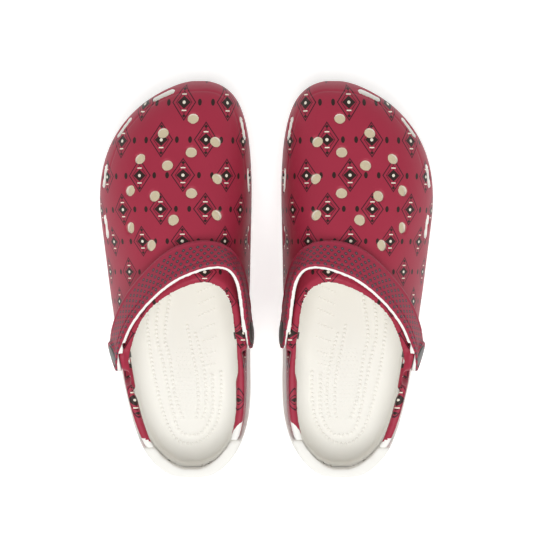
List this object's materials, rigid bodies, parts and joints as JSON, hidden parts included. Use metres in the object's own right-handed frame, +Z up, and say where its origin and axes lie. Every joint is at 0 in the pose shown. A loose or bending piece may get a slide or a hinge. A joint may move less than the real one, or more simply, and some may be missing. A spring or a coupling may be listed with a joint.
{
  "type": "garden clog",
  "caption": "Pair of moulded foam garden clogs with vented vamps, treaded soles and heel straps that swing on rivets, straps forward.",
  "frame": {"origin": "on the ground at the middle of the pair's bounding box", "axes": "+Y towards the toes, +Z up, +X towards the right clog; the plane X = 0 lies between the two clogs"},
  "size_m": [0.2444, 0.2884, 0.1103],
  "materials": {
    "tread": "matte",
    "sole_foam": "matte",
    "footbed_foam": "matte",
    "upper_foam": "satin",
    "strap_foam": "satin",
    "rivet": "satin"
  },
  "bodies": {
    "clogs": {"left_outsole": "tread", "left_midsole": "sole_foam", "left_footbed": "footbed_foam", "left_upper": "upper_foam", "right_outsole": "tread", "right_midsole": "sole_foam", "right_footbed": "footbed_foam", "right_upper": "upper_foam"},
    "left_strap": {"left_heel_strap": "strap_foam", "left_rivet_cap_lateral": "rivet", "left_rivet_cap_medial": "rivet", "left_rivet_back_lateral": "rivet", "left_rivet_back_medial": "rivet"},
    "right_strap": {"right_heel_strap": "strap_foam", "right_rivet_cap_lateral": "rivet", "right_rivet_cap_medial": "rivet", "right_rivet_back_lateral": "rivet", "right_rivet_back_medial": "rivet"}
  },
  "joints": [
    {"name": "left_strap_hinge", "type": "hinge", "parent": "clogs", "child": "left_strap", "pos_m": [-0.0599, -0.04675, 0.062], "axis": [0.9853, 0.1709, 0], "range_deg": [0, 100]},
    {"name": "right_strap_hinge", "type": "hinge", "parent": "clogs", "child": "right_strap", "pos_m": [0.0599, -0.04675, 0.062], "axis": [0.9853, -0.1709, 0], "range_deg": [0, 100]}
  ]
}
